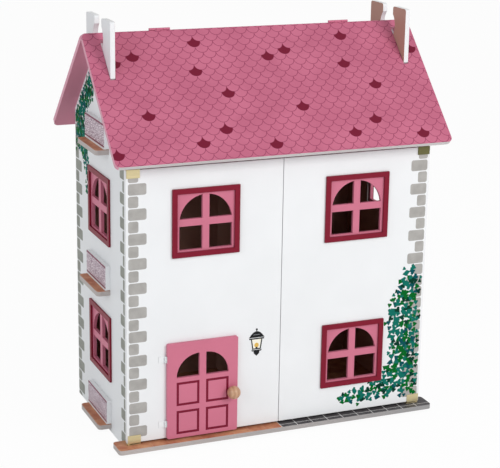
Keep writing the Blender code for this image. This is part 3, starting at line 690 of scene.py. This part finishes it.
finish_with(beech_wood(), "door_knob")
print("knob", round((high("door_knob").x - low("door_knob").x) / MM), "mm across")

# %% [markdown]
# ## Brass, enamel and steel
#
# The corner hinges are thin rolled brass, whose brushing runs one way. The top right plate,
# under the eave, is coloured a dull olive: painted shade from the eave. The ridge hinges are
# enamelled in the roof's pink and the little entry hinges in white, so both hardly show.
# Brushing lines are a few hundredths of a millimetre apart. Here they are about 0.4 mm
# apart, to show at all.

# %% Make the metals
STREAKS = (60.0, 900.0, 2500.0)  # per metre along each axis
METAL_LEVEL = 0.5
SHINIER, DULLER = 0.08, 0.1
GROOVE_SHADE = 0.8


def brushed_metal(name, hex_colour, roughness):
    """Bare metal whose brightness and gloss both follow the brushing."""
    material, tree, shader, place = start(name, roughness, metallic=1.0, specular=METAL_LEVEL)
    streaks = add(tree, "VectorMath", place, STREAKS, operation="MULTIPLY")
    grain = add(tree, "TexNoise", streaks, named={"Scale": 1.0, "Detail": 2.0})
    least, most = roughness - SHINIER, roughness + DULLER
    varied = add(tree, "MapRange", grain, NOISE_LOW, NOISE_HIGH, least, most)
    tree.links.new(varied, shader.inputs["Roughness"])
    tone = add(tree, "MapRange", grain, NOISE_LOW, NOISE_HIGH, 0.0, 1.0)
    darker = [value * GROOVE_SHADE for value in linear(hex_colour)[:3]] + [1]
    colour = lay_inks(tree, darker, (tone, hex_colour))
    tree.links.new(colour, shader.inputs["Base Color"])
    return material


# Rolled brass: pale gold with a broad sheen. The dark olive, duller copy is painted shade.
brass = brushed_metal("rolled_brass", "D9CBA0", 0.42)
eave_shade_brass = brushed_metal("brass_darkened_for_eave_shade", "6E6B48", 0.45)
# Zinc-plated steel: cool light grey, the brightest of the metals.
steel = brushed_metal("zinc_plated_steel", "BFC1C3", 0.35)
# Enamel on the hinges: even colour and a soft shine, so that they vanish into their boards.
roof_enamel = plain_paint("pink_enamel", ROOF_PINK, 0.35, 0.03)
enamel = plain_paint("white_enamel", WHITE, 0.4, 0.03)

# The plate under the eave gets the darker copy of the brass: painted shade from the eave.
EAVE_SHADED_PLATE = "hinge_plate_top_right"
plates = [name for name in nodes if name.startswith("hinge_") and name != EAVE_SHADED_PLATE]
finish_with(brass, *plates)
finish_with(eave_shade_brass, EAVE_SHADED_PLATE)
finish_with(roof_enamel, *[name for name in nodes if name.startswith("ridge_hinge")])
finish_with(enamel, *[name for name in nodes if name.startswith("entry_hinge")])
hidden = [name for name in nodes if name.startswith(("magnet", "strike"))]
finish_with(steel, "knob_screw", *hidden)

# %% [markdown]
# ## Inks as thin pieces
#
# Ivy and a lantern are printed with crisp outlines in several colours, which a noise pattern
# can't draw. So each leaf or lantern part is a thin flat piece, thick as a coat of ink. All
# the pieces of one print are joined in one object, which rides on the board that carries it.

# %% Cut and lay flat pieces of ink
INK = 0.03 * MM


def cut_flat(mesh, outline, level, ink):
    """One thin closed piece, drawn in the plane and lifted to its level."""
    face = mesh.faces.new([mesh.verts.new((x, y, level)) for x, y in outline])
    raised = bmesh.ops.extrude_face_region(mesh, geom=[face])["geom"]
    tops = [piece for piece in raised if isinstance(piece, bmesh.types.BMVert)]
    bmesh.ops.translate(mesh, verts=tops, vec=(0, 0, INK))
    for piece in {f for v in tops for f in v.link_faces} | {face}:
        piece.material_index = ink


def lay_print(name, mesh, inks, placing, body):
    """Joins the flat pieces into one object, places it and lets it ride on its board."""
    bmesh.ops.recalc_face_normals(mesh, faces=mesh.faces)
    data = bpy.data.meshes.new(name)
    mesh.to_mesh(data)
    mesh.free()
    for ink in inks:
        data.materials.append(ink)
    sheet = bpy.data.objects.new(name, data)
    sheet.matrix_world = placing
    bpy.context.scene.collection.objects.link(sheet)
    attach(sheet, body)


ON_FRONT = Matrix.Translation((0, DOOR_FACE_Y - INK, 0)) @ Matrix.Rotation(pi / 2, 4, "X")
ON_LEFT = Matrix.Translation((-WALL_X - INK, 0, 0)) @ Matrix(
    ((0, 0, -1, 0), (1, 0, 0, 0), (0, 1, 0, 0), (0, 0, 0, 1))
)
print("ink", INK / MM, "mm thick")

# %% [markdown]
# ## Where the ivy grows
#
# Ivy climbs the right front door and the left gable. Each patch is an outline in millimetres,
# across the board and up from the ground. A leaf grows where its middle is inside, and how
# near the edge it is decides how small it stays, so two small sums answer those questions.

# %% Outline the ivy
DOOR_IVY = [
    (98, 36), (125, 57), (150, 65), (181, 72), (212, 80), (219, 100), (230, 134), (221, 177),
    (218, 213), (234, 246), (245, 280), (262, 308), (282, 310), (295, 270), (295, 40), (262, 33),
    (170, 31),
]
GABLE_IVY = [
    (42, 686), (28, 655), (29, 626), (54, 607), (72, 594), (75, 560), (70, 530), (66, 505),
    (70, 462), (76, 428), (90, 430), (96, 480), (110, 500), (135, 505), (150, 500), (152, 578),
    (100, 630),
]


def within(polygon, x, y):
    """Whether a point is inside an outline, by counting the edges to its right."""
    crossings = 0
    for (x0, y0), (x1, y1) in zip(polygon, polygon[1:] + polygon[:1]):
        if (y0 > y) != (y1 > y) and x < x0 + (y - y0) * (x1 - x0) / (y1 - y0):
            crossings += 1
    return crossings % 2 == 1


def edge_distance(polygon, x, y):
    """How far a point is from the nearest edge of an outline."""
    spot = Vector((x, y))
    distances = []
    for one, two in zip(polygon, polygon[1:] + polygon[:1]):
        first, span = Vector(one), Vector(two) - Vector(one)
        share = max(0.0, min(1.0, (spot - first).dot(span) / span.length_squared))
        distances.append((spot - first - span * share).length)
    return min(distances)


print("outlines of", len(DOOR_IVY), "and", len(GABLE_IVY), "points")

# %% [markdown]
# ## The ivy's leaves
#
# A leaf is half an outline and its mirror image: a point, two lobes and a notch. The print
# uses four greens, so there are four inks.

# %% Shape a leaf and mix its greens
LEAF_SHAPE = ((0, -1), (0.45, -0.35), (0.92, 0.28), (0.62, 0.7), (0.25, 0.72), (0, 0.5))
GREEN_INKS = (("teal", "147062"), ("deep", "063A2B"), ("leaf", "066627"), ("sea", "0D5259"))
# Matt acrylic ink with almost no mirror part, so that the greens stay deep at a low angle.
GREENS = [
    plain_paint("ivy_ink_" + name, colour, 0.6, 0.15, 0.04) for name, colour in GREEN_INKS
]


def leaf_outline(centre, size, turn):
    mirrored = [(-x, y) for x, y in reversed(LEAF_SHAPE[1:-1])]
    spin = Matrix.Rotation(turn, 2)
    return [spin @ Vector(point) * size / 2 + centre for point in list(LEAF_SHAPE) + mirrored]


print("leaf of", 2 * len(LEAF_SHAPE) - 2, "points in", len(GREENS), "greens")

# %% [markdown]
# ## Scattering the leaves
#
# Leaves are scattered on a jittered grid by a seeded random draw, so that every run gives
# the same plant. Near the outline's edge they are smaller and fewer. Each lies a hair above
# the last, so that no two fight for the same depth.

# %% Grow the ivy
LEAF_SMALL, LEAF_LARGE = 11.5, 15.5
LEAF_STEP = 0.004 * MM
LEAF_LEVELS = 40
MOST_TURN = 2.4
JITTER = 0.36
THIN_EDGE = 12 * MM
EDGE_SHARE, EDGE_SIZE = 0.5, 0.66
GREEN_MIX = (0, 0, 0, 1, 2, 2, 3)


def ivy(name, outline, pitch, seed, placing, body):
    """Leaves over the outline, smaller and fewer near its edge."""
    chance = random.Random(seed)
    polygon = [(x * MM, y * MM) for x, y in outline]
    xs, ys = zip(*polygon)
    mesh = bmesh.new()
    count = 0
    y = min(ys)
    while y < max(ys):
        x = min(xs)
        while x < max(xs):
            aside = chance.uniform(-JITTER, JITTER) * pitch
            above = chance.uniform(-JITTER, JITTER) * pitch
            spot = Vector((x + aside, y + above))
            size = chance.uniform(LEAF_SMALL, LEAF_LARGE) * MM
            turn = chance.uniform(-MOST_TURN, MOST_TURN)
            green = chance.choice(GREEN_MIX)
            keep = chance.random()
            if within(polygon, *spot):
                near = min(1.0, edge_distance(polygon, *spot) / THIN_EDGE)
                if keep < EDGE_SHARE + (1 - EDGE_SHARE) * near:
                    grown = size * (EDGE_SIZE + (1 - EDGE_SIZE) * near)
                    points = leaf_outline(spot, grown, turn)
                    cut_flat(mesh, points, count % LEAF_LEVELS * LEAF_STEP, green)
                    count += 1
            x += pitch
        y += pitch
    lay_print(name, mesh, GREENS, placing, body)
    print(name, count, "leaves")


DOOR_PITCH, GABLE_PITCH = 8.8 * MM, 7.4 * MM
ivy("ivy_print_door", DOOR_IVY, DOOR_PITCH, 7, ON_FRONT, "front_door_right")
ivy("ivy_print_gable", GABLE_IVY, GABLE_PITCH, 11, ON_LEFT, "house")

# %% [markdown]
# ## The wall lantern
#
# A small coach lantern is printed beside the entry door: a black cap with a finial, two
# leaning posts, a cup with a point, and a warm bulb behind pale glass. It is cut from flat
# outlines like the ivy. Each part is an outline in millimetres and the number of its ink.

# %% Outline the lantern
PALE, AMBER, BLACK, GREY = 0, 1, 2, 3
BULB = [(4.4 * cos(a * pi / 8), -5 + 4.8 * sin(a * pi / 8)) for a in range(16)]
BALL = [(2 * cos(a * pi / 6), 26 + 2 * sin(a * pi / 6)) for a in range(12)]
LANTERN_PARTS = {
    "glass": ([(-10.5, 8), (10.5, 8), (7.2, -11), (-7.2, -11)], PALE),
    "bulb": (BULB, AMBER),
    "wick": ([(-2.2, -11), (2.2, -11), (1.6, -8.5), (-1.6, -8.5)], BLACK),
    "brim": ([(-15, 6.5), (15, 6.5), (15, 9), (-15, 9)], BLACK),
    "rim": ([(-16, 10), (16, 10), (14, 12), (-14, 12)], BLACK),
    "cap": (
        [(-14, 12), (-11, 16), (-7, 20), (-2.5, 22), (2.5, 22), (7, 20), (11, 16), (14, 12)],
        BLACK,
    ),
    "stem": ([(-0.9, 22), (0.9, 22), (0.9, 27), (-0.9, 27)], BLACK),
    "finial": (BALL, BLACK),
    "shine": ([(-8, 15.2), (7, 15.2), (5.5, 16.2), (-6, 16.2)], GREY),
    "post_left": ([(-11.5, 6.5), (-9.4, 6.5), (-6.4, -12), (-8.6, -12)], BLACK),
    "post_right": ([(11.5, 6.5), (8.6, -12), (6.4, -12), (9.4, 6.5)], BLACK),
    "sill": ([(-8.6, -11), (8.6, -11), (9.5, -13), (-9.5, -13)], BLACK),
    "plate": ([(-10.5, -14.2), (10.5, -14.2), (9, -16.6), (-9, -16.6)], BLACK),
    "cup": (
        [(-6, -16), (6, -16), (5.2, -21), (2.4, -23.5), (0, -26), (-2.4, -23.5), (-5.2, -21)],
        BLACK,
    ),
}
print("lantern parts:", ", ".join(LANTERN_PARTS))

# %% [markdown]
# ## Laying the lantern's inks
#
# Printing order matters: the pale glass goes down first, then the bulb, and the black parts
# over both. So each part lies one coat of ink above the part before it.

# %% Print the lantern
LANTERN_X = -47.5 * MM
LANTERN_Z = 185 * MM
LANTERN_INKS = (("pale", "F6F2E2"), ("amber", "DDB45A"), ("black", "17181A"), ("grey", "8A8C90"))
# Satin ink, like the door under it: the black keeps a faint sheen.
INKS = [
    plain_paint("lantern_ink_" + name, colour, 0.45, 0.08) for name, colour in LANTERN_INKS
]
lantern = bmesh.new()
for level, (outline, ink) in enumerate(LANTERN_PARTS.values()):
    cut_flat(lantern, [(x * MM, z * MM) for x, z in outline], level * INK, ink)
beside_door = Matrix.Translation((LANTERN_X, 0, LANTERN_Z)) @ ON_FRONT
lay_print("lantern_print", lantern, INKS, beside_door, "front_door_left")
print("lantern printed in", len(INKS), "inks")

# %% [markdown]
# ## Studio
#
# The house stands on a sheet of pale paper. Paper and sky are nearly white to the camera
# only, so the house isn't lit more than it should be, and the paper keeps a little of the
# house's shadow.

# %% Paper floor
FLOOR_HALF = 15
WHITE_SHARE = 0.95
PURE_WHITE = (1, 1, 1, 1)


def seen_directly(tree):
    """1 for what the camera sees, straight or in a shiny or clear surface."""
    path = add(tree, "LightPath").node.outputs
    seen = add(tree, "Math", path["Is Camera Ray"], path["Is Glossy Ray"], operation="MAXIMUM")
    return add(tree, "Math", seen, path["Is Transmission Ray"], operation="MAXIMUM")


floor_mesh = bpy.data.meshes.new("studio_floor")
plane = bmesh.new()
bmesh.ops.create_grid(plane, x_segments=1, y_segments=1, size=FLOOR_HALF)
plane.to_mesh(floor_mesh)
plane.free()
floor = bpy.data.objects.new("studio_floor", floor_mesh)
bpy.context.scene.collection.objects.link(floor)

# Matt paper: no highlight at all, only the shadow.
paper, tree, shader, place = start("matte_paper", 0.9)
shader.inputs["Base Color"].default_value = linear("F4F4F4")
share = add(tree, "Math", seen_directly(tree), WHITE_SHARE, operation="MULTIPLY")
glow = add(tree, "Emission", PURE_WHITE, 1.0)
mixed = add(tree, "MixShader", share, shader.outputs[0], glow)
tree.links.new(mixed, tree.nodes["Material Output"].inputs["Surface"])
floor_mesh.materials.append(paper)
print("paper floor laid")

# %% [markdown]
# ## Light
#
# Soft, even light flatters paint: a large lamp high on the right as the key, a weaker and
# cooler one from the left to fill, and a sky all round that lights at half its white.

# %% Sky and lamps
SKY_STRENGTH = 0.5
LAMP_SIZE = 1.6
LAMP_AIM = Vector((0, 0, 0.35))

world = bpy.data.worlds.new("studio")
bpy.context.scene.world = world
world.use_nodes = True
tree = world.node_tree
background = tree.nodes["Background"]
background.inputs["Color"].default_value = PURE_WHITE
strength = add(tree, "MapRange", seen_directly(tree), 0.0, 1.0, SKY_STRENGTH, 1.0)
tree.links.new(strength, background.inputs["Strength"])


def lamp(name, place, watts, colour=(1, 1, 1)):
    light = bpy.data.lights.new(name, "AREA")
    light.size = LAMP_SIZE
    light.energy = watts
    light.color = colour
    obj = bpy.data.objects.new(name, light)
    obj.location = place
    obj.rotation_euler = (LAMP_AIM - Vector(place)).to_track_quat("-Z", "Y").to_euler()
    bpy.context.scene.collection.objects.link(obj)
    print(name, watts, "W")


lamp("key", (1.4, -3.0, 2.0), 62)
lamp("fill", (-2.6, -1.4, 1.5), 22, (0.88, 0.94, 1))

# %% [markdown]
# ## Camera
#
# A long lens from the front left, higher than the roof and tilted down, shows the front,
# the left side and the roof together. The small shift frames the house in the middle.

# %% Place the camera
CAMERA_PLACE = (-1.0950, -2.6144, 1.1592)
YAW = 0.3992
TILT = -0.271
ROLL = 0.0165
LENS = 109.81
SHIFT = (-0.0026, -0.0268)

forward = Vector((sin(YAW) * cos(TILT), cos(YAW) * cos(TILT), sin(TILT)))
level_right = Vector((cos(YAW), -sin(YAW), 0))
level_up = level_right.cross(forward)
right = level_right * cos(ROLL) + level_up * sin(ROLL)
up = level_up * cos(ROLL) - level_right * sin(ROLL)
camera_data = bpy.data.cameras.new("camera")
camera_data.lens = LENS
camera_data.sensor_width = 36
camera_data.shift_x, camera_data.shift_y = SHIFT
camera = bpy.data.objects.new("camera", camera_data)
turn = Matrix((right, up, -forward)).transposed()
camera.matrix_world = Matrix.Translation(CAMERA_PLACE) @ turn.to_4x4()
bpy.context.scene.collection.objects.link(camera)
bpy.context.scene.camera = camera
bpy.context.scene.view_settings.view_transform = "Standard"
print("camera", round(Vector(CAMERA_PLACE).length, 2), "m away,", LENS, "mm lens")
